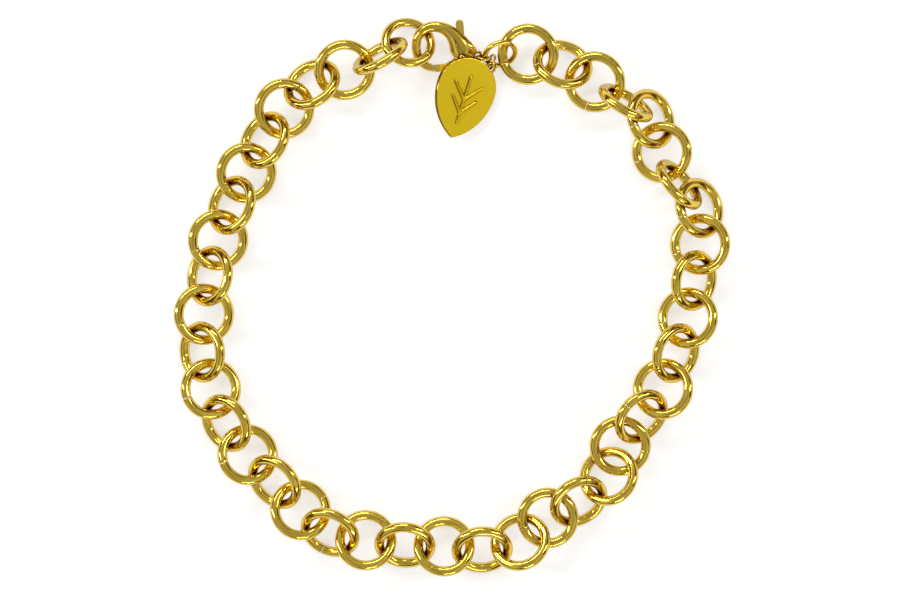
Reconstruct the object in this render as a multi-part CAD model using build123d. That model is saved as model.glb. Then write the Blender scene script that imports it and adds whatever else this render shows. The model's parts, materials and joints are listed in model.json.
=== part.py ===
"""A chunky gold-plated chain necklace, closed by a lobster clasp and lying in a loop on a table.

Forty wire rings and a smaller end ring are linked one through the next.  The end ring sits in the
hook of the clasp.  At the other end a jump ring carries the clasp, by a small ring, and a leaf tag.
Every ring leans on its neighbours, so the lay is settled here: the rings start near hand-chosen
places and are then pushed apart until no two wires touch and all of them rest on the table.
"""

from build123d import *
import os

import numpy as np

# ---------------------------------------------------------------- driving dimensions, millimetres
RING_RADIUS = 6.45          # a chain ring, to the middle of its wire
RING_WIRE = 2.5
END_RING_RADIUS = 5.8       # the last ring, the one the clasp hooks
END_RING_WIRE = 2.25
JUMP_RING_RADIUS = 3.8      # the ring at the other end of the chain
JUMP_RING_WIRE = 1.3
CLASP_RING_RADIUS = 1.8     # the small rings that carry the clasp and the tag
CLASP_RING_WIRE = 0.65
BUTT_GAP = 0.08             # saw cut where a ring's two ends meet
WIRE_CLEARANCE = 0.12       # least air between two wires
START_HEIGHT = 5.5          # every chain ring starts this high, and sinks until it rests
JUMP_RING_HEIGHT = 4.0

CLASP_THICK = 3.6           # through the cheeks, at the rivet
SLOT_WIDTH = 1.4            # the slot that the lever turns in
LEVER_THICK = 1.2
RIVET_RADIUS = 0.5
RIVET_PLAY = 0.05
RIVET_HEAD_RADIUS = 0.8
RIVET_HEAD_HEIGHT = 0.5
SPRING_THICK = 0.25
SPRING_WIDTH = 1.0
SPRING_BEND = 2.0           # radius of its bend
EYE_RADIUS = 1.05           # the eye at the clasp's tail, to the middle of its wire
EYE_WIRE = 0.8

TAG_HALF_WIDTH = 7.8
TAG_LENGTH = 20.6
TAG_THICK = 1.5
TAG_EDGE = 0.25             # rounding of the tag's rim
EYELET_RADIUS = 1.1         # the tag's eyelet, to the middle of its wire
EYELET_WIRE = 0.7
EYELET_BEARING = 56         # where the eyelet sits on the round head, from the tag's right
EYELET_BITE = 0.6           # how far its wire is sunk into the rim
VEIN_HEIGHT = 0.45
VEIN_WIDTH = 1.0
TAG_VEINS = [((0, 4.0), (0, 16.0)), ((0, 6.5), (3.2, 10.2)), ((0, 10.0), (3.6, 13.8))]

# ---------------------------------------------------------------- how the necklace lies
# Middles of the rings seen from above, from the end ring in the hook, down the left side, along
# the front and up the right side to the jump ring.  The zero is the middle of the loop.
RING_MIDDLES = [
    (-11.0, 63.5), (-17.75, 60.0), (-27.0, 56.5), (-35.0, 53.0), (-42.0, 46.75),
    (-46.75, 39.0), (-51.5, 30.75), (-55.0, 22.75), (-58.5, 14.0), (-60.5, 5.0),
    (-62.0, -4.5), (-62.5, -14.0), (-60.25, -23.25), (-56.5, -31.75), (-51.0, -39.75),
    (-44.25, -46.5), (-38.0, -53.25), (-30.5, -59.25), (-21.5, -61.0), (-11.75, -62.25),
    (-2.0, -62.5), (7.25, -63.5), (17.0, -62.0), (23.75, -54.75), (32.0, -51.5),
    (39.75, -45.5), (41.5, -36.75), (47.5, -30.25), (52.75, -23.25), (56.0, -14.25),
    (59.0, -5.5), (60.5, 4.0), (62.0, 12.75), (62.0, 21.75), (56.5, 27.75),
    (52.5, 36.25), (49.75, 44.25), (43.25, 48.0), (35.75, 53.5), (27.75, 58.0),
    (19.25, 60.25), (12.2, 60.8),
]
# Rings lean on each other by turns: one lifts its outer edge a little, the next its inner edge a lot.
OUTER_UP_LEAN = 18
INNER_UP_LEAN = -45
# The few that lie otherwise: ring number to (lean in degrees, compass direction of the raised edge).
ODD_LEANS = {
    1: (30, 270), 2: (70, 303), 23: (28, 300), 24: (6, 120), 25: (43, 125), 26: (28, 310),
    27: (5, 130), 28: (45, 140), 35: (66, 222), 36: (18, 25), 37: (45, 195), 38: (68, 238),
    39: (16, 50), 40: (42, 250), 41: (12, 70), 42: (56, 120),
}
# Where a ring's butt joint shows, as a compass direction from its middle; elsewhere it is hidden.
SEAMS = {1: 320, 5: 60, 8: 65, 10: 60, 14: 120, 17: 30, 18: 245, 19: 50, 21: 240,
         25: 90, 27: 350, 28: 140, 31: 190, 35: 190, 39: 250}
HIDDEN_SEAM = 200           # the others' butt joints lie out of sight under their neighbours
CLASP_MIDDLE = (0.0, 62.5, 2.7)
CLASP_ROLL = 15             # the spine rides on the end ring, the gate is nearly on the table
TAG_LEAN = 22               # the tag rides up on the clasp
TAG_RAISED = 155            # compass direction of the tag's raised edge
TAG_TURN = -16              # the tag's tip points to the front and a little to the left
EYELET_MIDDLE = (9.75, 57.3, 2.9)


def unit(vector):
    return np.array(vector, float) / np.linalg.norm(vector)


def compass(degrees):
    """A level unit vector: 0 points right, 90 away from the wearer's front."""
    return np.array([np.cos(np.radians(degrees)), np.sin(np.radians(degrees)), 0.0])


def leaning_normal(lean, towards):
    """The normal of a ring whose edge towards a compass direction is raised by so many degrees."""
    raised = compass(towards)
    return np.array([0, 0, 1]) * np.cos(np.radians(lean)) - raised * np.sin(np.radians(lean))


# ---------------------------------------------------------------- settling the rings
class Lay:
    """Circles of wire in space, moved until their wires stand clear of each other and of the table."""

    SAMPLES = 120           # points round each circle
    ROUNDS = 700
    CALM_ROUNDS = 250       # the last rounds, in which only contact moves the rings
    EASE = 0.06             # how strongly a ring is drawn back to its starting place each round
    SINK = 0.015            # how far it sinks each round, millimetres
    PUSH_SHARE = 0.4        # how much of the lack of room is mended in a round
    TURN_SHARE = 0.7        # how easily a ring turns rather than moves
    SOFTNESS = 0.03         # points within this of the worst share in a push, millimetres

    def __init__(self):
        self.middles, self.normals, self.radii, self.wires, self.free = [], [], [], [], []
        self.pairs = []

    def add(self, middle, normal, radius, wire, free=True):
        self.middles.append(np.array(middle, float))
        self.normals.append(unit(normal))
        self.radii.append(radius)
        self.wires.append(wire / 2)
        self.free.append(1.0 if free else 0.0)
        return len(self.radii) - 1

    def freeze(self):
        for name in ("middles", "normals", "radii", "wires", "free"):
            setattr(self, name, np.array(getattr(self, name), float))
        self.home, self.home_normals = self.middles.copy(), self.normals.copy()
        both_ways = self.pairs + [(second, first) for first, second in self.pairs]
        self.first, self.second = np.array(both_ways).T
        turns = np.linspace(0, 2 * np.pi, self.SAMPLES, endpoint=False)
        self.cosines, self.sines = np.cos(turns)[None, :, None], np.sin(turns)[None, :, None]

    def points(self):
        across = np.cross(self.normals, [0.3, 0.9, 0.1])
        across /= np.linalg.norm(across, axis=1)[:, None]
        along = np.cross(self.normals, across)
        offsets = self.cosines * across[:, None] + self.sines * along[:, None]
        return self.middles[:, None] + self.radii[:, None, None] * offsets

    def nearest(self, points, ring):
        """For points near each ring: the gap's direction, its length and the nearest point on the ring."""
        reach = points - self.middles[ring][:, None]
        height = np.sum(reach * self.normals[ring][:, None], axis=2, keepdims=True)
        flat = reach - height * self.normals[ring][:, None]
        flat_length = np.linalg.norm(flat, axis=2, keepdims=True)
        on_ring = self.middles[ring][:, None] + flat / flat_length * self.radii[ring][:, None, None]
        gap = points - on_ring
        length = np.linalg.norm(gap, axis=2)
        return gap / length[..., None], length, on_ring

    def push(self, moves, turns, ring, at, direction, amount):
        """Share a push at a point of each ring between moving the ring and turning it."""
        lever = np.cross(at - self.middles[ring], direction)
        stiffness = self.TURN_SHARE * self.radii[ring] ** 2
        weight = 1 + np.sum(lever * lever, axis=1) / stiffness
        step = (amount / weight)[:, None]
        np.add.at(moves, ring, step * direction)
        np.add.at(turns, ring, step * lever / stiffness[:, None])

    def separate(self, moves, turns):
        points = self.points()[self.first]
        directions, lengths, on_ring = self.nearest(points, self.second)
        wanted = self.wires[self.first] + self.wires[self.second] + WIRE_CLEARANCE
        lacking = wanted[:, None] - lengths
        worst = lacking.max(axis=1)
        share = np.exp(np.maximum((lacking - worst[:, None]) / self.SOFTNESS, -40))
        share /= share.sum(axis=1)[:, None]
        touching = np.nonzero(worst > 0)[0]
        for side in (directions, -directions):
            ring, at = (self.first, points) if side is directions else (self.second, on_ring)
            direction = np.sum(share[..., None] * side, axis=1)[touching]
            place = np.sum(share[..., None] * at, axis=1)[touching]
            amount = self.PUSH_SHARE * worst[touching]
            self.push(moves, turns, ring[touching], place, direction, amount)
        return worst.max()

    def stand(self, moves, turns):
        """Lift every ring that reaches below the table."""
        slope = np.sqrt(np.clip(1 - self.normals[:, 2] ** 2, 1e-9, 1))
        lowest = self.middles[:, 2] - self.radii * slope - self.wires
        down = (self.normals * self.normals[:, 2:3] - [0, 0, 1]) / slope[:, None]
        sunk = np.nonzero(lowest < 0)[0]
        at = self.middles[sunk] + down[sunk] * self.radii[sunk][:, None]
        up = np.tile([0.0, 0.0, 1.0], (len(sunk), 1))
        self.push(moves, turns, sunk, at, up, -lowest[sunk])

    def avoid(self, moves, turns, ring, obstacle_points, obstacle_radii):
        """Keep one ring clear of a fixed piece, given as points along its middle line."""
        count = np.array([ring])
        directions, lengths, on_ring = self.nearest(obstacle_points[None], count)
        lacking = self.wires[ring] + obstacle_radii + WIRE_CLEARANCE - lengths[0]
        for place in np.argsort(-lacking)[:4]:
            if lacking[place] > 0:
                direction = -directions[0][place][None]
                amount = 0.8 * self.PUSH_SHARE * lacking[place][None]
                self.push(moves, turns, count, on_ring[0][place][None], direction, amount)

    def settle(self, obstacles):
        easing = self.ROUNDS - self.CALM_ROUNDS
        for turn in range(self.ROUNDS):
            moves, turns = np.zeros_like(self.middles), np.zeros_like(self.middles)
            self.separate(moves, turns)
            for ring, obstacle_points, obstacle_radii in obstacles:
                self.avoid(moves, turns, ring, obstacle_points, obstacle_radii)
            self.stand(moves, turns)
            if turn < easing:
                left = 1 - turn / easing
                moves[:, :2] += self.EASE * left * (self.home - self.middles)[:, :2]
                moves[:, 2] -= self.SINK * left
                turns += self.EASE * left * np.cross(self.normals, self.home_normals)
            self.middles += moves * self.free[:, None]
            self.normals += np.cross(turns * self.free[:, None], self.normals)
            self.normals /= np.linalg.norm(self.normals, axis=1)[:, None]


# ---------------------------------------------------------------- the clasp's shape in its own plane
# X runs from the hook to the tail, Y from the gate to the spine, Z through the cheeks.
# Stations of the body from the nose round the hook to the tail: x, y, width, thickness.
BODY_STATIONS = [
    (-4.3, -5.35, 2.0, 2.0), (-6.5, -4.75, 2.1, 2.1), (-8.05, -3.3, 2.2, 2.2), (-8.8, -1.4, 2.3, 2.3),
    (-8.95, 0.8, 2.3, 2.3), (-8.3, 2.95, 2.35, 2.4), (-6.7, 4.55, 2.5, 2.4), (-4.4, 5.15, 2.65, 2.5),
    (-2.0, 4.65, 3.0, 2.7), (0.05, 3.25, 3.8, 3.0), (1.45, 1.45, 5.0, 3.4), (2.35, -0.35, 6.0, 3.6),
    (3.15, -1.75, 5.4, 3.6), (4.3, -2.35, 3.6, 2.8), (5.4, -2.25, 2.2, 1.4),
]
# The shoulder that carries the spine's edge down to the eye, given in the same way.
SHOULDER_STATIONS = [(2.6, 1.2, 3.0, 3.0), (4.6, -0.2, 2.6, 2.6), (5.8, -1.2, 1.4, 1.5)]
SECTIONS = 24               # cross-sections the body is drawn through
SHOULDER_SECTIONS = 10
HOOK_SHARE = 0.6            # how much of the body's middle line is the hook
RIVET_PLACE = (2.5, -2.4)
EYE_PLACE = (6.5, -2.3)
GATE_LINE = [(-4.95, -5.45), (-1.3, -5.15), (2.5, -2.6)]
GATE_WIDTH = 1.8
GATE_REACH = 7.65           # from the rivet to the gate's tip
GATE_GAP = 0.1              # between the closed gate and the nose of the hook
HUB_RADIUS = 1.45
THUMB_TIP = (1.9, 5.9)
THUMB_WIDTH = 2.0
GROOVE_OUTLINE = [(0.0, 3.2), (1.9, 0.7), (3.4, -1.9), (1.9, -1.9), (1.2, 0.4)]
GROOVE_END_RADIUS = 1.0     # the round recess about the rivet's head, where the groove ends
GROOVE_FLOOR = 1.1          # from the clasp's middle plane to the floor of the groove in each cheek
SLOT_OUTLINE = [(0.7, 7.0), (0.7, 0.9), (0.6, -0.9), (-0.9, -1.7), (-2.0, -3.0), (-2.0, -7.0),
                (3.2, -7.0), (4.4, -3.6), (4.4, -1.6), (8.2, 3.9), (5.2, 7.0)]
NOSE_PLACE = (-4.0, -5.6)   # the end of the hook, cut to let the gate's tip swing past
NOSE_ROOM = 4.0
SPRING_LINE = [(4.1, -3.1), (4.25, -1.4), (3.55, 0.3)]


def clasp_plane():
    """The plane of the clasp as it lies, with its spine tipped up."""
    return Plane(Location(CLASP_MIDDLE) * Rotation(CLASP_ROLL, 0, 0))


def tag_plane():
    """The plane of the tag, with its zero in the eyelet and Y from the tip towards the head."""
    normal = Vector(*leaning_normal(TAG_LEAN, TAG_RAISED))
    head = Vector(*compass(90 + TAG_TURN))
    across = head.cross(normal)
    return Plane(origin=EYELET_MIDDLE, x_dir=across, z_dir=normal)


def placed(plane, point):
    spot = plane.from_local_coords(Vector(*point))
    return np.array([spot.X, spot.Y, spot.Z])


def station_line(stations):
    """The middle line through some stations, and how wide and thick the metal is along it."""
    line = Spline(*[station[:2] for station in stations])
    steps = [line.param_at_point((*station[:2], 0)) for station in stations]
    widths = [station[2] for station in stations]
    thicknesses = [station[3] for station in stations]
    return line, lambda step: (np.interp(step, steps, widths), np.interp(step, steps, thicknesses))


def hook_obstacle(plane):
    """The hook's middle line and the closed gate, which the end ring must stand clear of."""
    line, size = station_line(BODY_STATIONS)
    gate = Line(GATE_LINE[0], GATE_LINE[1])
    steps = np.linspace(0, HOOK_SHARE, 40)
    points = [placed(plane, tuple(line @ step)) for step in steps]
    radii = [max(size(step)) / 2 for step in steps]
    for step in np.linspace(0, 1, 10):
        points.append(placed(plane, tuple(gate @ step)))
        radii.append(GATE_WIDTH / 2)
    return np.array(points), np.array(radii)


def eyelet_place():
    """The eyelet's middle, measured from the middle of the tag's round head."""
    reach = TAG_HALF_WIDTH + EYELET_RADIUS - EYELET_BITE
    return reach * np.cos(np.radians(EYELET_BEARING)), reach * np.sin(np.radians(EYELET_BEARING))


def tag_obstacle(plane):
    """Balls that fill the tag's round head, which the small rings must stand clear of."""
    head_x, head_y = eyelet_place()
    points = []
    for inset in np.arange(TAG_THICK / 2, TAG_HALF_WIDTH - 1, 0.5):
        for bearing in np.radians(np.arange(EYELET_BEARING - 60, EYELET_BEARING + 90, 4)):
            reach = TAG_HALF_WIDTH - inset
            points.append((reach * np.cos(bearing) - head_x, reach * np.sin(bearing) - head_y, 0))
    return np.array([placed(plane, point) for point in points]), np.full(len(points), TAG_THICK / 2)


def lay_points(lay, ring):
    """Points round one ring that is not settled yet."""
    normal, middle = lay.normals[ring], lay.middles[ring]
    across = unit(np.cross(normal, [0.3, 0.9, 0.1]))
    along = np.cross(normal, across)
    turns = np.radians(np.arange(0, 360, 3))
    return [middle + lay.radii[ring] * (np.cos(t) * across + np.sin(t) * along) for t in turns]


def small_ring(lay, eye, jump_points):
    """Add a small ring that starts in an eye and reaches round the nearest of the jump ring's wire."""
    held = lay.middles[eye]
    gaps = [np.linalg.norm(point - held) for point in jump_points]
    nearest = int(np.argmin(gaps))
    reach = unit(jump_points[nearest] - held)
    along_wire = unit(jump_points[(nearest + 1) % len(jump_points)] - jump_points[nearest])
    # square to the eye and square to the wire at once is rarely possible: take the middle way
    through_eye = unit(np.cross(reach, lay.normals[eye]))
    if np.dot(through_eye, along_wire) < 0:
        along_wire = -along_wire
    middle = held + reach * CLASP_RING_RADIUS
    return lay.add(middle, through_eye + along_wire, CLASP_RING_RADIUS, CLASP_RING_WIRE)


def lay_chain():
    """Settle every ring and return the lay, with the numbers of its rings in chain order."""
    lay = Lay()
    count = len(RING_MIDDLES)
    for number, (x, y) in enumerate(RING_MIDDLES, start=1):
        radius, wire = RING_RADIUS, RING_WIRE
        if number == 1:
            radius, wire = END_RING_RADIUS, END_RING_WIRE
        if number == count:
            radius, wire = JUMP_RING_RADIUS, JUMP_RING_WIRE
        before = np.array(RING_MIDDLES[max(number - 2, 0)])
        after = np.array(RING_MIDDLES[min(number, count - 1)])
        along = after - before
        outward = np.degrees(np.arctan2(-along[0], along[1]))
        lean = OUTER_UP_LEAN if number % 2 else INNER_UP_LEAN
        lean, towards = ODD_LEANS.get(number, (lean, outward))
        height = START_HEIGHT if number < count else JUMP_RING_HEIGHT
        lay.add((x, y, height), leaning_normal(lean, towards), radius, wire)
    last = count - 1
    plane = clasp_plane()
    eye_middle = placed(plane, (*EYE_PLACE, 0))
    eye = lay.add(eye_middle, tuple(plane.z_dir), EYE_RADIUS, EYE_WIRE, free=False)
    tag = tag_plane()
    eyelet = lay.add(EYELET_MIDDLE, tuple(tag.z_dir), EYELET_RADIUS, EYELET_WIRE, free=False)
    # the two small rings start upright, each in line with what it holds and the jump ring's wire
    jump_points = lay_points(lay, last)
    small = small_ring(lay, eye, jump_points)
    hanger = small_ring(lay, eyelet, jump_points)
    chain = range(count)
    lay.pairs = [(n, n + 1) for n in chain[:-1]] + [(n, n + 2) for n in chain[:-2]]
    lay.pairs += [(last, small), (small, eye), (last, eye), (last - 1, small)]
    lay.pairs += [(last, hanger), (hanger, eyelet), (last, eyelet), (small, hanger)]
    lay.pairs += [(last - 1, hanger), (last - 1, eyelet), (eye, hanger)]
    lay.freeze()
    rim = tag_obstacle(tag)
    lay.settle([(0, *hook_obstacle(plane)), (small, *rim), (hanger, *rim), (last, *rim)])
    return lay, small, eye, hanger, eyelet


# ---------------------------------------------------------------- solids
def wire_ring(middle, normal, radius, wire, seam_towards):
    """A round wire ring, sawn through and closed again at its butt joint."""
    gap = np.degrees(BUTT_GAP / radius)
    section = Plane.XZ * Pos(radius, 0) * Circle(wire / 2)
    ring = Rot(0, 0, gap / 2) * revolve(section, Axis.Z, 360 - gap)
    in_plane = seam_towards - np.dot(seam_towards, normal) * normal
    plane = Plane(origin=tuple(middle), x_dir=tuple(unit(in_plane)), z_dir=tuple(normal))
    return plane * ring


def limb(stations, count):
    """Metal of oval section drawn through some stations."""
    line, size = station_line(stations)
    sections = []
    for step in np.linspace(0, 1, count):
        ahead = line % step
        width, thickness = size(step)
        plane = Plane(origin=line @ step, x_dir=(-ahead.Y, ahead.X, 0), z_dir=ahead)
        sections.append(plane * Ellipse(width / 2, thickness / 2))
    return loft(sections, ruled=True)


def clasp_body():
    body = limb(BODY_STATIONS, SECTIONS) + limb(SHOULDER_STATIONS, SHOULDER_SECTIONS)
    slot = extrude(make_face(Polyline(*SLOT_OUTLINE, close=True)), SLOT_WIDTH / 2, both=True)
    hole = Pos(*EYE_PLACE) * Cylinder(EYE_RADIUS - EYE_WIRE / 2, CLASP_THICK)
    # the nose ends on a circle about the rivet, so that the gate can swing in past it
    sweep = Pos(*RIVET_PLACE) * Cylinder(GATE_REACH + GATE_GAP, CLASP_THICK)
    nose = Pos(*NOSE_PLACE) * Box(NOSE_ROOM, NOSE_ROOM, CLASP_THICK)
    body = body - slot - hole - (sweep & nose)
    groove = make_face(Polyline(*GROOVE_OUTLINE, close=True))
    groove += Pos(*RIVET_PLACE) * Circle(GROOVE_END_RADIUS)
    for side in (-1, 1):
        body -= Pos(0, 0, side * GROOVE_FLOOR) * extrude(groove, side * CLASP_THICK)
    eye = Pos(*EYE_PLACE) * Torus(EYE_RADIUS, EYE_WIRE / 2)
    return body + eye - clasp_rivet()


def clasp_rivet():
    """The pin that the lever turns on, headed over on both cheeks."""
    pin = Cylinder(RIVET_RADIUS, CLASP_THICK)
    head = Cylinder(RIVET_HEAD_RADIUS, RIVET_HEAD_HEIGHT)
    heads = [Pos(0, 0, side * (CLASP_THICK - RIVET_HEAD_HEIGHT) / 2) * head for side in (-1, 1)]
    return Pos(*RIVET_PLACE) * (pin + heads)


def arm(line, width):
    """Rounded flat strips along a line, end on end."""
    strips = []
    for start, end in zip(line[:-1], line[1:]):
        ahead = np.array(end) - np.array(start)
        middle = (np.array(start) + np.array(end)) / 2
        turn = np.degrees(np.arctan2(ahead[1], ahead[0]))
        strip = SlotCenterToCenter(float(np.linalg.norm(ahead)), width)
        strips.append(Pos(*middle) * Rot(0, 0, turn) * strip)
    return strips


def clasp_lever():
    """The sprung gate with its thumb piece, bored for the rivet."""
    hub = Pos(*RIVET_PLACE) * Circle(HUB_RADIUS)
    bore = Pos(*RIVET_PLACE) * Circle(RIVET_RADIUS + RIVET_PLAY)
    gate = (Sketch() + arm(GATE_LINE, GATE_WIDTH)) & (Pos(*RIVET_PLACE) * Circle(GATE_REACH))
    outline = hub + gate + arm([RIVET_PLACE, THUMB_TIP], THUMB_WIDTH) - bore
    return extrude(outline, LEVER_THICK / 2, both=True)


def clasp_spring():
    """A bent leaf in the slot, pressing the thumb piece forward."""
    bend = FilletPolyline(*SPRING_LINE, radius=SPRING_BEND)
    return extrude(trace(bend, SPRING_THICK), SPRING_WIDTH / 2, both=True)


def tag():
    """A leaf with a round head and a pointed tip, an eyelet on its rim and raised veins."""
    head_middle = TAG_LENGTH - TAG_HALF_WIDTH
    head = ThreePointArc((TAG_HALF_WIDTH, head_middle), (0, TAG_LENGTH), (-TAG_HALF_WIDTH, head_middle))
    # each side is an arc that leaves the head straight down and meets the other at the tip
    side_radius = (head_middle**2 + TAG_HALF_WIDTH**2) / (2 * TAG_HALF_WIDTH)
    half_turn = np.arcsin(head_middle / side_radius) / 2
    bulge = TAG_HALF_WIDTH - side_radius * (1 - np.cos(half_turn))
    drop = head_middle - side_radius * np.sin(half_turn)
    left = ThreePointArc((-TAG_HALF_WIDTH, head_middle), (-bulge, drop), (0, 0))
    right = ThreePointArc((0, 0), (bulge, drop), (TAG_HALF_WIDTH, head_middle))
    plate = extrude(make_face(Curve() + [head, left, right]), TAG_THICK / 2, both=True)
    plate = fillet(plate.edges().group_by(Axis.Z)[-1] + plate.edges().group_by(Axis.Z)[0], TAG_EDGE)
    across, beyond = eyelet_place()
    spot = Pos(across, head_middle + beyond)
    eyelet = spot * Torus(EYELET_RADIUS, EYELET_WIRE / 2)
    hole = spot * Cylinder(EYELET_RADIUS - EYELET_WIRE / 2, 2 * TAG_THICK)
    veins = Sketch()
    for start, end in TAG_VEINS:
        for side in (-1, 1):
            veins += arm([(side * start[0], start[1]), (side * end[0], end[1])], VEIN_WIDTH)
    ridges = Pos(0, 0, TAG_THICK / 2) * extrude(veins, VEIN_HEIGHT)
    return spot.inverse() * (plate - hole + eyelet + ridges)


def whole_box(pieces):
    boxes = [piece.bounding_box() for piece in pieces]
    whole = boxes[0]
    for box in boxes[1:]:
        whole = whole.add(box)
    return whole


def ring_names():
    count = len(RING_MIDDLES)
    links = [f"chain_ring_{number:02d}" for number in range(2, count)]
    return ["end_ring"] + links + ["jump_ring"]


def main():
    os.makedirs("parts", exist_ok=True)
    lay, small, eye, hanger, eyelet = lay_chain()
    pieces = {}
    names = ring_names()
    for number, name in enumerate(names):
        seam = compass(SEAMS.get(number + 1, HIDDEN_SEAM))
        ring = (lay.middles[number], lay.normals[number], lay.radii[number], 2 * lay.wires[number])
        pieces[name] = wire_ring(*ring, seam)
    for name, number in (("clasp_ring", small), ("tag_ring", hanger)):
        ring = (lay.middles[number], lay.normals[number], lay.radii[number], 2 * lay.wires[number])
        pieces[name] = wire_ring(*ring, compass(0))
    for make in (clasp_body, clasp_rivet, clasp_spring, clasp_lever):
        pieces[make.__name__] = clasp_plane() * make()
    pieces["tag"] = tag_plane() * tag()
    box = whole_box(pieces.values())
    home = Pos(-(box.min.X + box.max.X) / 2, -(box.min.Y + box.max.Y) / 2, -box.min.Z)
    for name, piece in pieces.items():
        solid = home * piece
        solid.label = name
        export_step(solid, f"parts/{name}.step")
    print("size", box.size, "shift", home.position)


if __name__ == "__main__":
    main()
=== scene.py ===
"""The looks of the chain necklace: polished gold rings, lobster clasp and leaf tag on a white table."""

import json
import math

import bpy
import numpy as np
from mathutils import Matrix, Vector


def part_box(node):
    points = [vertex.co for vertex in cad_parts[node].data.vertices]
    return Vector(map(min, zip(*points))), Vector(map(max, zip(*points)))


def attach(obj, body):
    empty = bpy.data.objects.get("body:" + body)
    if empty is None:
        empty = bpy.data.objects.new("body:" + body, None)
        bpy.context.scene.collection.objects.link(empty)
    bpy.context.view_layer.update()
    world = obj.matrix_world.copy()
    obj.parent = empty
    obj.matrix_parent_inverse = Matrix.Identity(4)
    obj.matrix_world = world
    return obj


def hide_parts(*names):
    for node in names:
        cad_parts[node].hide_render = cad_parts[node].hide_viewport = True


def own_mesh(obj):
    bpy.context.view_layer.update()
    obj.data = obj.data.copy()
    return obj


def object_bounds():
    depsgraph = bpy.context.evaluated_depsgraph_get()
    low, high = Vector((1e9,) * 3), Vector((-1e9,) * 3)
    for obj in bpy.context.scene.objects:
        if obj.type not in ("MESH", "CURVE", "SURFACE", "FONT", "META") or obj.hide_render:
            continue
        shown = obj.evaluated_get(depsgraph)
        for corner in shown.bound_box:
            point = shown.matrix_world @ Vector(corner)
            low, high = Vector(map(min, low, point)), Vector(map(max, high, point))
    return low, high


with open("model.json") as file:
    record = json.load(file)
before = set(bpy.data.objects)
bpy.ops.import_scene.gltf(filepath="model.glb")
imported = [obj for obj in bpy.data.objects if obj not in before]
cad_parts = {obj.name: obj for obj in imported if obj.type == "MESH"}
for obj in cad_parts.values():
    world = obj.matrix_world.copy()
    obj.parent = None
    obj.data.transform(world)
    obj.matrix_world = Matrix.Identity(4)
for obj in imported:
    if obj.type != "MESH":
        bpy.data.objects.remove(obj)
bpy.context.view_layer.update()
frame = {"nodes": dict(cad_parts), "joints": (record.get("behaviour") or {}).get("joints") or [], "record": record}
MM = 0.001
JOINTS = {joint["name"]: joint for joint in frame["joints"]}

# ---------------------------------------------------------------- driving sizes, millimetres
WIRE_SIDES = 28             # facets round a wire
WIRE_STEPS = 160            # facets along a ring
END_ROUND = 0.14            # how far a sawn wire end is rounded over
SEAM_HALF_GAP = 0.05        # from the middle of a ring's seam to a wire end
# Stations of the clasp's body from the nose round the hook to the tail: x, y, width, thickness.
BODY_STATIONS = [
    (-4.3, -5.35, 2.0, 2.0), (-6.5, -4.75, 2.1, 2.1), (-8.05, -3.3, 2.2, 2.2), (-8.8, -1.4, 2.3, 2.3),
    (-8.95, 0.8, 2.3, 2.3), (-8.3, 2.95, 2.35, 2.4), (-6.7, 4.55, 2.5, 2.4), (-4.4, 5.15, 2.65, 2.5),
    (-2.0, 4.65, 3.0, 2.7), (0.05, 3.25, 3.8, 3.0), (1.45, 1.45, 5.0, 3.4), (2.35, -0.35, 6.0, 3.6),
    (3.15, -1.75, 5.4, 3.6), (4.3, -2.35, 3.6, 2.8), (5.4, -2.25, 2.2, 1.4),
]
# The shoulder that carries the spine's edge down to the eye, given in the same way.
SHOULDER_STATIONS = [(2.6, 1.2, 3.0, 3.0), (4.6, -0.2, 2.6, 2.6), (5.8, -1.2, 1.4, 1.5)]
CLASP_THICK = 3.6
SLOT_WIDTH = 1.4
LEVER_THICK = 1.2
RIVET_PLACE = (2.5, -2.4)
RIVET_RADIUS = 0.5
RIVET_PLAY = 0.05
RIVET_HEAD_RADIUS = 0.8
RIVET_HEAD_HEIGHT = 0.5
EYE_PLACE = (6.5, -2.3)
EYE_RADIUS = 1.05
EYE_WIRE = 0.8
GATE_LINE = [(-4.95, -5.45), (-1.3, -5.15), (2.5, -2.6)]
GATE_WIDTH = 1.8
GATE_REACH = 7.65           # from the rivet to the gate's tip
GATE_GAP = 0.06             # between the closed gate and the nose of the hook
HUB_RADIUS = 1.45
THUMB_TIP = (1.9, 5.9)
THUMB_WIDTH = 2.0
GROOVE_OUTLINE = [(0.0, 3.2), (1.9, 0.7), (3.4, -1.9), (1.9, -1.9), (1.2, 0.4)]
GROOVE_END_RADIUS = 1.0
GROOVE_FLOOR = 1.1          # from the clasp's middle plane
SLOT_OUTLINE = [(0.7, 7.0), (0.7, 0.9), (0.6, -0.9), (-0.9, -1.7), (-2.0, -3.0), (-2.0, -7.0),
                (3.2, -7.0), (4.4, -3.6), (4.4, -1.6), (8.2, 3.9), (5.2, 7.0)]
NOSE_TURNS = (190, 215)     # the end of the hook, as bearings from the rivet
NOSE_ROOM = [(-2, -7.6), (-2, -3.6)]
SPRING_LINE = [(4.1, -3.1), (4.22, -2.2), (4.18, -1.3), (3.9, -0.5), (3.55, 0.3)]
SPRING_HALF_THICK = 0.125
SPRING_HALF_WIDE = 0.5
SPRING_STEPS = 40
TAG_HALF_WIDTH = 7.8
TAG_LENGTH = 20.6
TAG_THICK = 1.5
TAG_EDGE = 0.25             # rounding of the tag's rim
EYELET_RADIUS = 1.1
EYELET_WIRE = 0.7
EYELET_BEARING = 56         # where the eyelet sits on the round head, from the tag's right
EYELET_BITE = 0.6           # how far its wire is sunk into the rim
VEIN_HEIGHT = 0.45
VEIN_WIDTH = 1.0
VEIN_ROOT = 0.2             # how deep a vein is sunk into the tag
VEIN_TAPER = 0.25           # how much narrower a vein is at its end
TAG_VEINS = [((0, 4.0), (0, 16.0)), ((0, 6.5), (3.2, 10.2)), ((0, 10.0), (3.6, 13.8))]
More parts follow.
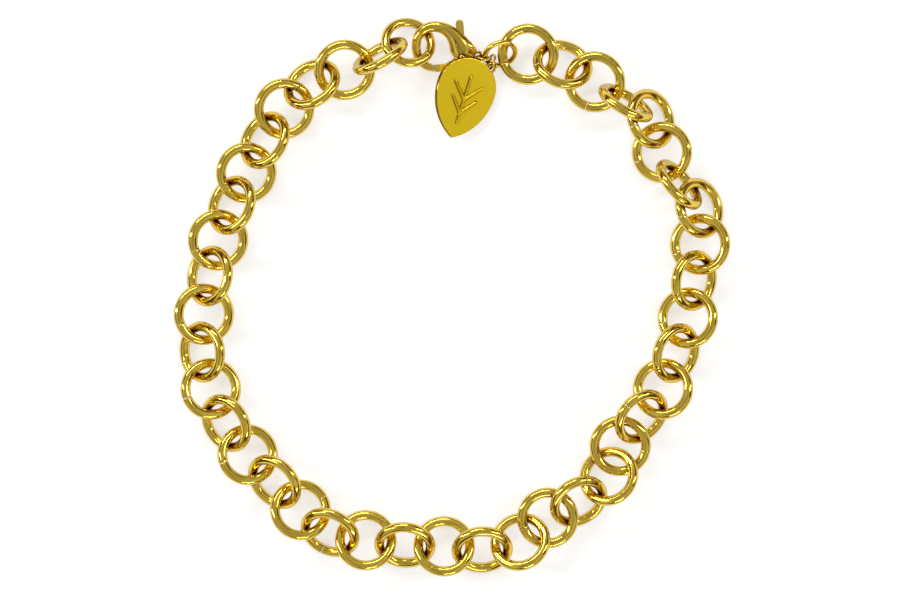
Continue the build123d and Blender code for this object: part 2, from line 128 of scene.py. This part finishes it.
TAG_LEAN = 22               # the tag's tilt in degrees, the side it is raised on, and its turn in the plane
TAG_RAISED = 155
TAG_TURN = -16
SHARP_EDGE = 50             # a fold of more degrees than this is shaded as an edge
CAST_VOXEL = 0.06           # grid that cast pieces are skinned on
CAST_STEPS = 120            # cross-sections along the clasp's body
SHOULDER_STEPS = 30
BODY_ROUNDS = 5             # how often a cast skin is evened out
LEVER_ROUNDS = 4

# ---------------------------------------------------------------- colours, materials and light
EDGE_TINT = (0.50, 0.42, 0.30)      # what gold keeps of its shine at a grazing angle
# painted shade: where pieces lie close, the base colour darkens towards this share of the deep colour
CREVICE_SHADE = (0.45, 0.279, 0.18)       # share of each colour left in deep corners
CREVICE_SHADE_REACH = 0.0018              # metres
# painted shade: dark brown base colour for the tag's side walls, standing in for the shaded rim
WALL_PAINTED_SHADE = (0.17, 0.065, 0.01)
# Each gold: pale and deep colour, roughness, how much rougher its smears are, clear coat.
GOLDS = {
    "chain_gold": ((0.82, 0.61, 0.075), (0.70, 0.48, 0.04), 0.08, 0.08, 0.8),
    "clasp_gold": ((0.82, 0.60, 0.07), (0.70, 0.48, 0.04), 0.12, 0.09, 0.8),
    "tag_gold": ((1.0, 0.73, 0.025), (0.96, 0.69, 0.018), 0.12, 0.06, 0.1),
    "spring_metal": ((0.8, 0.6, 0.3), (0.7, 0.5, 0.25), 0.2, 0.1, 0.8),
}
TABLE_COLOUR = (0.50, 0.50, 0.50)
TABLE_GLOW = 0.62
# Soft boxes: name, place, size and power.
SOFT_BOXES = [
    ("strip_back", (-0.35, 0.95, 0.75), (1.0, 0.10), 5),
    ("strip_left", (-1.0, 0.15, 0.65), (0.10, 0.9), 4),
    ("strip_right", (0.95, 0.25, 0.85), (0.10, 0.7), 3),
    ("strip_front", (0.3, -1.1, 0.6), (0.6, 0.08), 2.5),
]
AIM_HEIGHT = 0.005
# The room from the floor up to the zenith: brown low down, a bright band, then an even grey-white.
ROOM = [
    (0.0, (0.55, 0.45, 0.34)), (0.08, (0.13, 0.07, 0.035)), (0.40, (0.10, 0.05, 0.02)),
    (0.46, (1.3, 1.25, 1.15)), (0.50, (0.66, 0.64, 0.6)), (0.80, (0.60, 0.59, 0.56)),
    (0.90, (0.41, 0.40, 0.38)), (1.0, (0.40, 0.39, 0.37)),
]
ROOM_PATCHES = 2.2                  # scale of the room's unevenness
ROOM_SWAY = 1.4                     # how far it moves the bands up and down
ROOM_DROP = -0.78
ROOM_STRENGTH = 0.92

# ---------------------------------------------------------------- camera
FILM_WIDTH = 36
VIEW_WIDTH = 225            # how much of the table the picture is wide
CAMERA_DISTANCE = 620
HALF_HEIGHT = 5             # the distance is counted from this height above the table
CAMERA_SHIFT = (-0.0005, -0.001)    # metres, from the necklace's middle


def unit(vector):
    return np.array(vector, float) / np.linalg.norm(vector)


def vertices_of(node):
    """A CAD node's points in millimetres."""
    mesh = frame["nodes"][node].data
    points = np.zeros(len(mesh.vertices) * 3)
    mesh.vertices.foreach_get("co", points)
    return points.reshape(-1, 3) / MM


def mesh_object(name, vertices, faces, smooth=True):
    """A mesh from points in millimetres."""
    mesh = bpy.data.meshes.new(name)
    mesh.from_pydata([tuple(v) for v in np.asarray(vertices) * MM], [], faces)
    mesh.update()
    if smooth:
        mesh.shade_smooth()
    thing = bpy.data.objects.new(name, mesh)
    bpy.context.scene.collection.objects.link(thing)
    return thing


def grid_faces(rows, columns, close_rows=False):
    """Quads over a grid of points whose rows are closed loops."""
    faces = []
    for row in range(rows if close_rows else rows - 1):
        after = (row + 1) % rows
        for column in range(columns):
            beside = (column + 1) % columns
            faces.append((row * columns + column, row * columns + beside,
                          after * columns + beside, after * columns + column))
    return faces


# ---------------------------------------------------------------- rings
def ring_shape(node):
    """A ring's middle, normal, radius, wire radius and seam direction, from its CAD mesh."""
    points = vertices_of(node)
    middle = points.mean(axis=0)
    for _ in range(30):
        normal = np.linalg.svd(points - middle, full_matrices=False)[2][2]
        reach = points - middle
        height = reach @ normal
        flat = reach - height[:, None] * normal
        around = np.linalg.norm(flat, axis=1)
        outward = flat / around[:, None]
        # the wire's middle line and radius that fit the skin best, and the shift that evens them out
        radius = (around.max() + around.min()) / 2
        wire = (around.max() - around.min()) / 2
        off = np.hypot(around - radius, height) - wire
        across = (around - radius) / np.hypot(around - radius, height).clip(1e-6)
        shift = np.linalg.lstsq(outward * across[:, None], off, rcond=None)[0]
        middle = middle + shift
        if np.linalg.norm(shift) < 1e-6:
            break
    mesh = frame["nodes"][node].data
    seam = np.zeros(3)
    for face in mesh.polygons:
        place = np.array(face.center) / MM - middle
        along = unit(np.cross(normal, place))
        if abs(np.dot(along, np.array(face.normal))) > 0.98:
            seam += unit(place) * face.area
    return middle, normal, radius, wire, unit(seam)


def wire_ring(node, body, gold):
    """A round wire ring whose two ends meet at a butt joint with slightly rounded edges."""
    middle, normal, radius, wire, seam = ring_shape(node)
    across = unit(seam - np.dot(seam, normal) * normal)
    along = np.cross(normal, across)
    gap = SEAM_HALF_GAP / radius
    rounding = END_ROUND / radius
    near_end = rounding * np.array([0, 0.04, 0.14, 0.3, 0.55, 1.0])
    thin = wire - END_ROUND * (1 - np.sqrt(1 - (1 - near_end / rounding) ** 2))
    turns = np.linspace(gap + rounding, 2 * np.pi - gap - rounding, WIRE_STEPS)[1:-1]
    turns = np.concatenate([gap + near_end, turns, 2 * np.pi - gap - near_end[::-1]])
    wires = np.concatenate([thin, np.full(WIRE_STEPS - 2, wire), thin[::-1]])
    sides = np.linspace(0, 2 * np.pi, WIRE_SIDES, endpoint=False)
    rows = []
    for turn, size in zip(turns, wires):
        outward = np.cos(turn) * across + np.sin(turn) * along
        loop = np.outer(radius + size * np.cos(sides), outward) + np.outer(size * np.sin(sides), normal)
        rows.append(middle + loop)
    count = len(turns)
    faces = grid_faces(count, WIRE_SIDES)
    faces.append(tuple(range(WIRE_SIDES))[::-1])
    faces.append(tuple((count - 1) * WIRE_SIDES + side for side in range(WIRE_SIDES)))
    ring = mesh_object(node + "_wire", np.concatenate(rows), faces)
    ring.data.polygons[len(faces) - 1].use_smooth = False
    ring.data.polygons[len(faces) - 2].use_smooth = False
    ring.data.materials.append(gold)
    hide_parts(node)
    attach(ring, body)


def slot_of(node):
    """The material slot that the record gives a node."""
    for row in frame["record"]["subparts"]:
        if row["node"] == node:
            return row["material_slot"]
    return None


def body_of(node):
    """The moving body that a node is part of."""
    for body, members in frame["record"]["behaviour"]["bodies"].items():
        if node in members:
            return body
    return None


# ---------------------------------------------------------------- cast pieces, drawn in their own plane
def clasp_frame():
    """The matrix in millimetres from the clasp's own plane, where X runs from hook to tail."""
    lever = JOINTS["lever_press"]
    normal = unit(lever["axis"])
    normal = normal if normal[2] > 0 else -normal
    x_axis = unit(np.cross([0, 1, 0], normal))
    y_axis = np.cross(normal, x_axis)
    turned = np.array([x_axis, y_axis, normal]).T
    start = np.array(lever["pos_m"]) / MM - turned @ np.array([*RIVET_PLACE, 0])
    return Matrix(np.vstack([np.column_stack([turned, start]), [0, 0, 0, 1]]).tolist())


def smooth_line(points, count):
    """A smooth line through points: a natural cubic spline, and its tangents."""
    points = np.array(points, float)
    knots = np.concatenate([[0], np.cumsum(np.linalg.norm(np.diff(points[:, :2], axis=0), axis=1))])
    size = len(knots)
    matrix, right = np.eye(size), np.zeros((size, points.shape[1]))
    steps = np.diff(knots)
    for row in range(1, size - 1):
        matrix[row, row - 1] = steps[row - 1]
        matrix[row, row] = 2 * (steps[row - 1] + steps[row])
        matrix[row, row + 1] = steps[row]
        slope_after = (points[row + 1] - points[row]) / steps[row]
        slope_before = (points[row] - points[row - 1]) / steps[row - 1]
        right[row] = 6 * (slope_after - slope_before)
    bend = np.linalg.solve(matrix, right)
    places = np.linspace(0, knots[-1], count)
    index = np.clip(np.searchsorted(knots, places) - 1, 0, size - 2)
    h = steps[index][:, None]
    a = (knots[index + 1] - places)[:, None] / h
    b = 1 - a
    bow = ((a**3 - a) * bend[index] + (b**3 - b) * bend[index + 1]) * h * h / 6
    line = a * points[index] + b * points[index + 1] + bow
    tangents = np.gradient(line[:, :2], axis=0)
    return line, tangents / np.linalg.norm(tangents, axis=1)[:, None]


def limb(name, stations, count, sides=48):
    """Metal of oval section drawn through some stations."""
    line, tangents = smooth_line(stations, count)
    turns = np.linspace(0, 2 * np.pi, sides, endpoint=False)
    rows = []
    for (x, y, width, thick), (tx, ty) in zip(line, tangents):
        side = np.array([-ty, tx, 0])
        loop = np.outer(np.cos(turns) * width / 2, side) + np.outer(np.sin(turns) * thick / 2, [0, 0, 1])
        rows.append(np.array([x, y, 0]) + loop)
    faces = grid_faces(count, sides)
    faces.append(tuple(range(sides))[::-1])
    faces.append(tuple((count - 1) * sides + side for side in range(sides)))
    return mesh_object(name, np.concatenate(rows), faces)


def torus(name, middle, radius, wire, steps=72, sides=24):
    """A ring of round wire; wire is its wire's radius."""
    rows = []
    turns = np.linspace(0, 2 * np.pi, sides, endpoint=False)
    for turn in np.linspace(0, 2 * np.pi, steps, endpoint=False):
        outward = np.array([np.cos(turn), np.sin(turn), 0])
        sideways = np.outer(radius + wire * np.cos(turns), outward)
        upward = np.outer(wire * np.sin(turns), [0, 0, 1])
        rows.append(np.array([*middle, 0]) + (sideways + upward))
    return mesh_object(name, np.concatenate(rows), grid_faces(steps, sides, close_rows=True))


def slab(name, outline, low, high):
    """An outline extruded from one height to another."""
    outline = np.array(outline, float)
    after = np.roll(outline, -1, axis=0)
    if np.sum(outline[:, 0] * after[:, 1] - outline[:, 1] * after[:, 0]) < 0:
        outline = outline[::-1]
    count = len(outline)
    bottom = np.column_stack([outline, np.full(count, low)])
    top = np.column_stack([outline, np.full(count, high)])
    faces = [(n, (n + 1) % count, count + (n + 1) % count, count + n) for n in range(count)]
    faces += [tuple(range(count))[::-1], tuple(range(count, 2 * count))]
    return mesh_object(name, np.concatenate([bottom, top]), faces, smooth=False)


def circle_outline(middle, radius, count=96):
    turns = np.linspace(0, 2 * np.pi, count, endpoint=False)
    return np.column_stack([middle[0] + radius * np.cos(turns), middle[1] + radius * np.sin(turns)])


def strip_outline(start, end, width, count=24):
    """A rounded strip between two points."""
    start, end = np.array(start, float), np.array(end, float)
    ahead = np.arctan2(*(end - start)[::-1])
    front = np.linspace(ahead - np.pi / 2, ahead + np.pi / 2, count)
    back = front + np.pi
    head = end + width / 2 * np.column_stack([np.cos(front), np.sin(front)])
    tail = start + width / 2 * np.column_stack([np.cos(back), np.sin(back)])
    return np.concatenate([head, tail])


def combine(base, operation, *others):
    """Join, cut or trim a piece with others, which are used up."""
    for other in others:
        cut = base.modifiers.new("cut", "BOOLEAN")
        cut.operation = operation
        cut.solver = "EXACT"
        cut.object = other
        apply_modifiers(base)
        bpy.data.objects.remove(other)
    return base


def apply_modifiers(thing):
    """Make what the modifiers do permanent."""
    depsgraph = bpy.context.evaluated_depsgraph_get()
    mesh = bpy.data.meshes.new_from_object(thing.evaluated_get(depsgraph))
    thing.modifiers.clear()
    thing.data = mesh


def skin(thing, voxel, rounds):
    """Skin a piece on a fine grid and even it out, so that its edges are soft as on a casting."""
    remesh = thing.modifiers.new("skin", "REMESH")
    remesh.mode = "VOXEL"
    remesh.voxel_size = voxel * MM
    remesh.use_smooth_shade = True
    soften = thing.modifiers.new("soften", "SMOOTH")
    soften.factor = 0.5
    soften.iterations = rounds
    apply_modifiers(thing)
    thing.data.shade_smooth()
    return thing


def place(thing, name, matrix, body, gold, nodes):
    """Move a finished piece from its own plane to where the CAD has it."""
    scaled = matrix.copy()
    scaled.translation = matrix.translation * MM
    thing.data.transform(scaled)
    thing.name = thing.data.name = name
    thing.data.materials.clear()
    thing.data.materials.append(gold)
    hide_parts(*nodes)
    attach(thing, body)
    return thing


def clasp_body():
    """The cast claw: spine and shoulder with an eye, less the slot, the nose's end and the grooves."""
    body = limb("spine", BODY_STATIONS, CAST_STEPS)
    body = combine(body, "UNION", limb("shoulder", SHOULDER_STATIONS, SHOULDER_STEPS))
    body = combine(body, "UNION", torus("eye", EYE_PLACE, EYE_RADIUS, EYE_WIRE / 2))
    slot = slab("slot", SLOT_OUTLINE, -SLOT_WIDTH / 2, SLOT_WIDTH / 2)
    hole = slab("hole", circle_outline(EYE_PLACE, EYE_RADIUS - EYE_WIRE / 2), -CLASP_THICK, CLASP_THICK)
    body = combine(body, "DIFFERENCE", slot, hole)
    # the nose ends on a circle about the rivet, so that the gate can swing in past it
    turns = np.radians(np.linspace(*NOSE_TURNS, 24))
    reach = GATE_REACH + GATE_GAP
    nose = [(RIVET_PLACE[0] + reach * np.cos(t), RIVET_PLACE[1] + reach * np.sin(t)) for t in turns]
    nose += NOSE_ROOM
    body = combine(body, "DIFFERENCE", slab("nose", nose, -CLASP_THICK, CLASP_THICK))
    for low, high in ((GROOVE_FLOOR, CLASP_THICK), (-CLASP_THICK, -GROOVE_FLOOR)):
        recess = slab("recess", circle_outline(RIVET_PLACE, GROOVE_END_RADIUS), low, high)
        body = combine(body, "DIFFERENCE", slab("groove", GROOVE_OUTLINE, low, high), recess)
    return skin(body, CAST_VOXEL, BODY_ROUNDS)


def clasp_lever():
    """The gate, its hub about the rivet and the thumb piece."""
    half = LEVER_THICK / 2
    lever = slab("lever", circle_outline(RIVET_PLACE, HUB_RADIUS), -half, half)
    for start, end in zip(GATE_LINE[:-1], GATE_LINE[1:]):
        lever = combine(lever, "UNION", slab("arm", strip_outline(start, end, GATE_WIDTH), -half, half))
    reach = slab("reach", circle_outline(RIVET_PLACE, GATE_REACH), -half * 2, half * 2)
    lever = combine(lever, "INTERSECT", reach)
    thumb = slab("thumb", strip_outline(RIVET_PLACE, THUMB_TIP, THUMB_WIDTH), -half, half)
    lever = combine(lever, "UNION", thumb)
    bore = slab("bore", circle_outline(RIVET_PLACE, RIVET_RADIUS + RIVET_PLAY), -half * 2, half * 2)
    lever = combine(lever, "DIFFERENCE", bore)
    return skin(lever, CAST_VOXEL, LEVER_ROUNDS)


def lathe(name, profile, steps=64):
    """A closed turned piece about Z from (radius, height) points that start and end on the axis."""
    rows = []
    for turn in np.linspace(0, 2 * np.pi, steps, endpoint=False):
        rows += [(r * np.cos(turn), r * np.sin(turn), h) for r, h in profile[1:-1]]
    inner = len(profile) - 2
    faces = []
    for step in range(steps):
        after = (step + 1) % steps
        for place_up in range(inner - 1):
            faces.append((step * inner + place_up, after * inner + place_up,
                          after * inner + place_up + 1, step * inner + place_up + 1))
    first, last = len(rows), len(rows) + 1
    rows += [(0, 0, profile[0][1]), (0, 0, profile[-1][1])]
    for step in range(steps):
        after = (step + 1) % steps
        faces.append((first, after * inner, step * inner))
        faces.append((last, step * inner + inner - 1, after * inner + inner - 1))
    return mesh_object(name, rows, faces)


def clasp_rivet():
    """The pin with two low domed heads."""
    half = CLASP_THICK / 2
    crown = half - RIVET_HEAD_HEIGHT
    dome = [(RIVET_HEAD_RADIUS * np.cos(t), crown + RIVET_HEAD_HEIGHT * np.sin(t))
            for t in np.radians(np.linspace(8, 84, 9))]
    top = [(RIVET_RADIUS, crown), (RIVET_HEAD_RADIUS, crown), *dome, (0, half)]
    bottom = [(radius, -height) for radius, height in reversed(top)]
    rivet = lathe("rivet", bottom + top)
    rivet.data.transform(Matrix.Translation(Vector((*RIVET_PLACE, 0)) * MM))
    return rivet


def clasp_spring():
    """The bent leaf in the slot."""
    line, tangents = smooth_line(SPRING_LINE, SPRING_STEPS)
    rows = []
    corners = ((1, 1), (1, -1), (-1, -1), (-1, 1))
    for (x, y), (tx, ty) in zip(line, tangents):
        for side, height in corners:
            side_step = side * SPRING_HALF_THICK
            rows.append((x - ty * side_step, y + tx * side_step, height * SPRING_HALF_WIDE))
    faces = grid_faces(SPRING_STEPS, len(corners))
    last = len(rows) - len(corners)
    faces += [(3, 2, 1, 0), (last, last + 1, last + 2, last + 3)]
    return mesh_object("spring", rows, faces, smooth=False)


# ---------------------------------------------------------------- the tag
def tag_outline(inset=0.0, count=90):
    """The leaf's outline with its tip at the zero, moved in by an inset."""
    head = TAG_LENGTH - TAG_HALF_WIDTH
    side_radius = (head**2 + TAG_HALF_WIDTH**2) / (2 * TAG_HALF_WIDTH)
    tip_turn = np.arccos((side_radius - TAG_HALF_WIDTH) / (side_radius - inset))
    round_head = [((TAG_HALF_WIDTH - inset) * np.cos(t), head + (TAG_HALF_WIDTH - inset) * np.sin(t))
                  for t in np.linspace(0, np.pi, count)]
    left, right = [], []
    for t in np.linspace(0, tip_turn, count // 2)[1:]:
        x = (side_radius - inset) * np.cos(t) - (side_radius - TAG_HALF_WIDTH)
        y = head - (side_radius - inset) * np.sin(t)
        right.append((x, y))
        left.append((-x, y))
    return np.array(round_head + left + right[::-1][1:])


def eyelet_place():
    """The eyelet's middle on the tag, whose zero is at the tip."""
    reach = TAG_HALF_WIDTH + EYELET_RADIUS - EYELET_BITE
    bearing = np.radians(EYELET_BEARING)
    return reach * np.cos(bearing), TAG_LENGTH - TAG_HALF_WIDTH + reach * np.sin(bearing)


def ridge(start, end, width, height, base):
    """A raised vein: a low rounded bar that tapers towards its end."""
    start, end = np.array(start, float), np.array(end, float)
    ahead = unit(end - start)
    side = np.array([-ahead[1], ahead[0]])
    length = np.linalg.norm(end - start)
    rows = []
    arc = np.radians(np.linspace(0, 180, 13))
    steps = np.linspace(-width / 2, length + width / 2, 36)
    for step in steps:
        inside = min(step + width / 2, length + width / 2 - step) / (width / 2)
        share = math.sqrt(max(1 - (1 - min(inside, 1)) ** 2, 0.0004))
        half = width / 2 * share * (1 - VEIN_TAPER * max(step, 0) / length)
        place = start + ahead * step
        loop = [(*(place + side * half * np.cos(t)), base + height * share * np.sin(t)) for t in arc]
        loop += [(*(place - side * half), base - VEIN_ROOT), (*(place + side * half), base - VEIN_ROOT)]
        rows.append(loop)
    columns = len(rows[0])
    faces = [face[::-1] for face in grid_faces(len(rows), columns)]
    faces.append(tuple(range(columns)))
    faces.append(tuple((len(rows) - 1) * columns + n for n in range(columns))[::-1])
    return mesh_object("ridge", np.concatenate(rows), faces)


def tag():
    """A thick leaf with a rounded rim, an eyelet and raised veins."""
    half = TAG_THICK / 2
    rim = np.radians([0, 18, 36, 54, 72, 90])
    insets = TAG_EDGE * (1 - np.cos(rim))
    heights = half - TAG_EDGE + TAG_EDGE * np.sin(rim)
    loops = [(i, -h) for i, h in zip(insets, heights)][::-1] + list(zip(insets, heights))
    rows = []
    for inset, height in loops:
        outline = tag_outline(inset)
        rows.append(np.column_stack([outline, np.full(len(outline), height)]))
    columns = len(rows[0])
    faces = grid_faces(len(rows), columns)
    faces.append(tuple(range(columns))[::-1])
    faces.append(tuple((len(rows) - 1) * columns + n for n in range(columns)))
    plate = mesh_object("plate", np.concatenate(rows), faces)
    spot = eyelet_place()
    hole = slab("hole", circle_outline(spot, EYELET_RADIUS - EYELET_WIRE / 2), -TAG_THICK, TAG_THICK)
    plate = combine(plate, "DIFFERENCE", hole)
    plate = combine(plate, "UNION", torus("eyelet", spot, EYELET_RADIUS, EYELET_WIRE / 2))
    for start, end in TAG_VEINS:
        plate = combine(plate, "UNION", ridge(start, end, VEIN_WIDTH, VEIN_HEIGHT, half))
        if end[0] != 0:
            mirrored = [(-x, y) for x, y in (start, end)]
            plate = combine(plate, "UNION", ridge(*mirrored, VEIN_WIDTH, VEIN_HEIGHT, half))
    plate.data.transform(Matrix.Translation(Vector((-spot[0], -spot[1], 0)) * MM))
    flatten = plate.modifiers.new("flatten", "WEIGHTED_NORMAL")
    flatten.keep_sharp = True
    plate.data.set_sharp_from_angle(angle=np.radians(SHARP_EDGE))
    return plate


def level(degrees):
    """A level direction, from its bearing."""
    return np.array([np.cos(np.radians(degrees)), np.sin(np.radians(degrees)), 0.0])


def tag_frame(piece):
    """The matrix in millimetres from the tag's own plane: its tilt, then the place of its CAD box."""
    lean = np.radians(TAG_LEAN)
    normal = np.array([0, 0, 1]) * np.cos(lean) - level(TAG_RAISED) * np.sin(lean)
    across = unit(np.cross(level(90 + TAG_TURN), normal))
    turned = np.array([across, np.cross(normal, across), normal]).T
    points = np.array([vertex.co for vertex in piece.data.vertices]) / MM @ turned.T
    low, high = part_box("tag")
    start = (np.array(low) + np.array(high)) / 2 / MM - (points.min(axis=0) + points.max(axis=0)) / 2
    return Matrix(np.vstack([np.column_stack([turned, start]), [0, 0, 0, 1]]).tolist())


# ---------------------------------------------------------------- materials
MIX_SHARE, MIX_LOW, MIX_HIGH = 0, 6, 7      # inputs of a Mix node that mixes colours
MIX_RESULT = 2


def add(tree, kind, **sockets):
    """A new node with some inputs set; an underscore in an input's name stands for a space."""
    made = tree.nodes.new(kind)
    for name, value in sockets.items():
        made.inputs[name.replace("_", " ")].default_value = value
    return made


def noise(tree, where, **sockets):
    """An uneven value over space."""
    made = add(tree, "ShaderNodeTexNoise", **sockets)
    tree.links.new(where, made.inputs["Vector"])
    return made.outputs["Fac"]


def stretch(tree, value, start, end, low=0.0, high=1.0):
    """A value's range from start to end, stretched to run from low to high."""
    made = add(tree, "ShaderNodeMapRange", From_Min=start, From_Max=end, To_Min=low, To_Max=high)
    tree.links.new(value, made.inputs["Value"])
    return made.outputs["Result"]


def calculate(tree, kind, operation, first, *others):
    """A Math or Vector Math node's first result; first is an output, the others are numbers or outputs."""
    made = tree.nodes.new(kind)
    made.operation = operation
    tree.links.new(first, made.inputs[0])
    for place, other in enumerate(others, start=1):
        if isinstance(other, bpy.types.NodeSocket):
            tree.links.new(other, made.inputs[place])
        else:
            made.inputs[place].default_value = other
    return made.outputs["Value"]


def mix_colours(tree, share, low, high):
    """A colour from low to high as share goes from 0 to 1; high is a colour or an output."""
    made = tree.nodes.new("ShaderNodeMix")
    made.data_type = "RGBA"
    tree.links.new(share, made.inputs[MIX_SHARE])
    made.inputs[MIX_LOW].default_value = (*low, 1)
    if isinstance(high, bpy.types.NodeSocket):
        tree.links.new(high, made.inputs[MIX_HIGH])
    else:
        made.inputs[MIX_HIGH].default_value = (*high, 1)
    return made.outputs[MIX_RESULT]


def gold_material(name, pale, deep, roughness, wear, coat):
    """Polished gold plating: a slow drift of colour, painted brown shade in corners where pieces lie close, smears
    and ripples.
    """
    material = bpy.data.materials.new(name)
    material.use_nodes = True
    tree = material.node_tree
    shader = tree.nodes["Principled BSDF"]
    shader.inputs["Metallic"].default_value = 1.0
    shader.inputs["Specular Tint"].default_value = (*EDGE_TINT, 1)
    shader.inputs["Coat Weight"].default_value = coat
    shader.inputs["Coat Roughness"].default_value = 0.04
    where = tree.nodes.new("ShaderNodeTexCoord").outputs["Object"]
    colour = mix_colours(tree, noise(tree, where, Scale=260, Detail=3), deep, pale)
    # thin painted brown shade where pieces lie close to each other: ambient occlusion darkens the base colour
    nearby = add(tree, "ShaderNodeAmbientOcclusion", Distance=CREVICE_SHADE_REACH)
    nearby.samples = 8
    unshaded = stretch(tree, nearby.outputs["AO"], 0.30, 0.92)
    crevice_shaded = mix_colours(tree, unshaded, tuple(np.multiply(deep, CREVICE_SHADE)), colour)
    tree.links.new(crevice_shaded, shader.inputs["Base Color"])
    smears = noise(tree, where, Scale=900, Detail=5, Distortion=1.2)
    rough = stretch(tree, smears, 0.35, 0.75, roughness, roughness + wear)
    tree.links.new(rough, shader.inputs["Roughness"])
    bump = add(tree, "ShaderNodeBump", Strength=0.25, Distance=0.00006)
    tree.links.new(noise(tree, where, Scale=700, Detail=2), bump.inputs["Height"])
    tree.links.new(bump.outputs["Normal"], shader.inputs["Normal"])
    return material


def paint_wall_shade(material, normal):
    """Paint shade on the walls of a flat piece: every face that turns away from the piece's flat sides gets a dark
    brown base colour.
    """
    tree = material.node_tree
    base = tree.nodes["Principled BSDF"].inputs["Base Color"]
    gold = base.links[0].from_socket
    where = tree.nodes.new("ShaderNodeTexCoord").outputs["Normal"]
    facing = calculate(tree, "ShaderNodeVectorMath", "DOT_PRODUCT", where, normal)
    either_side = calculate(tree, "ShaderNodeMath", "ABSOLUTE", facing)
    flat = stretch(tree, either_side, 0.35, 0.92)
    tree.links.new(mix_colours(tree, flat, WALL_PAINTED_SHADE, gold), base)


def glowing_material(name, colour, roughness, glow):
    """A matt material that also gives off some white light."""
    material = bpy.data.materials.new(name)
    material.use_nodes = True
    shader = material.node_tree.nodes["Principled BSDF"]
    shader.inputs["Base Color"].default_value = (*colour, 1)
    shader.inputs["Roughness"].default_value = roughness
    shader.inputs["Emission Color"].default_value = (1, 1, 1, 1)
    shader.inputs["Emission Strength"].default_value = glow
    return material


# ---------------------------------------------------------------- making it
golds = {name: gold_material(name, *look) for name, look in GOLDS.items()}

for node in frame["nodes"]:
    if "_ring" in node:
        gold = "chain_gold" if slot_of(node) == "chain_gold" else "clasp_gold"
        wire_ring(node, body_of(node), golds[gold])

clasp_matrix = clasp_frame()
clasp_gold = golds["clasp_gold"]
place(clasp_body(), "clasp_casting", clasp_matrix, "clasp", clasp_gold, ["clasp_body"])
place(clasp_rivet(), "clasp_pin", clasp_matrix, "clasp", clasp_gold, ["clasp_rivet"])
spring = place(clasp_spring(), "clasp_leaf_spring", clasp_matrix, "clasp",
               golds["spring_metal"], ["clasp_spring"])
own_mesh(spring)
place(clasp_lever(), "clasp_gate", clasp_matrix, "lever", clasp_gold, ["clasp_lever"])
leaf = tag()
leaf_matrix = tag_frame(leaf)
place(leaf, "leaf_tag", leaf_matrix, "tag", golds["tag_gold"], ["tag"])
# painted shade on the tag's side walls
paint_wall_shade(golds["tag_gold"], leaf_matrix.col[2].xyz)

# ---------------------------------------------------------------- table, light and camera
low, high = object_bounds()
middle = (low + high) / 2
bpy.ops.mesh.primitive_plane_add(size=4, location=(middle.x, middle.y, 0))
table = bpy.context.object
table.name = "table"
table.data.materials.append(glowing_material("table_white", TABLE_COLOUR, 0.9, TABLE_GLOW))


def soft_box(name, spot, size, power):
    """An area light that looks at the necklace."""
    data = bpy.data.lights.new(name, "AREA")
    data.shape = "RECTANGLE"
    data.size, data.size_y = size
    data.energy = power
    lamp = bpy.data.objects.new(name, data)
    lamp.location = spot
    aim = Vector((middle.x, middle.y, AIM_HEIGHT)) - Vector(spot)
    lamp.rotation_mode = "QUATERNION"
    lamp.rotation_quaternion = aim.to_track_quat("-Z", "Y")
    bpy.context.scene.collection.objects.link(lamp)


def room():
    """The light of the room: bands of colour from the floor to the zenith, moved up and down unevenly."""
    world = bpy.data.worlds.new("studio")
    bpy.context.scene.world = world
    world.use_nodes = True
    tree = world.node_tree
    direction = tree.nodes.new("ShaderNodeTexCoord").outputs["Generated"]
    split = tree.nodes.new("ShaderNodeSeparateXYZ")
    tree.links.new(direction, split.inputs["Vector"])
    patches = noise(tree, direction, Scale=ROOM_PATCHES, Detail=1.0)
    shift = calculate(tree, "ShaderNodeMath", "MULTIPLY_ADD", patches, ROOM_SWAY, ROOM_DROP)
    height = calculate(tree, "ShaderNodeMath", "ADD", split.outputs["Z"], shift)
    ramp = tree.nodes.new("ShaderNodeValToRGB")
    bands = ramp.color_ramp.elements
    for band, (position, colour) in zip((bands[0], bands[1]), (ROOM[0], ROOM[-1])):
        band.position = position
        band.color = (*colour, 1)
    for position, colour in ROOM[1:-1]:
        bands.new(position).color = (*colour, 1)
    background = tree.nodes["Background"]
    tree.links.new(height, ramp.inputs["Fac"])
    tree.links.new(ramp.outputs["Color"], background.inputs["Color"])
    background.inputs["Strength"].default_value = ROOM_STRENGTH


for soft_box_data in SOFT_BOXES:
    soft_box(*soft_box_data)
room()

camera_data = bpy.data.cameras.new("camera")
camera_data.lens = FILM_WIDTH * CAMERA_DISTANCE / VIEW_WIDTH
camera = bpy.data.objects.new("camera", camera_data)
camera.location = (CAMERA_SHIFT[0] + middle.x, CAMERA_SHIFT[1] + middle.y,
                   (CAMERA_DISTANCE + HALF_HEIGHT) * MM)
bpy.context.scene.collection.objects.link(camera)
bpy.context.scene.camera = camera
bpy.context.scene.view_settings.view_transform = "Standard"
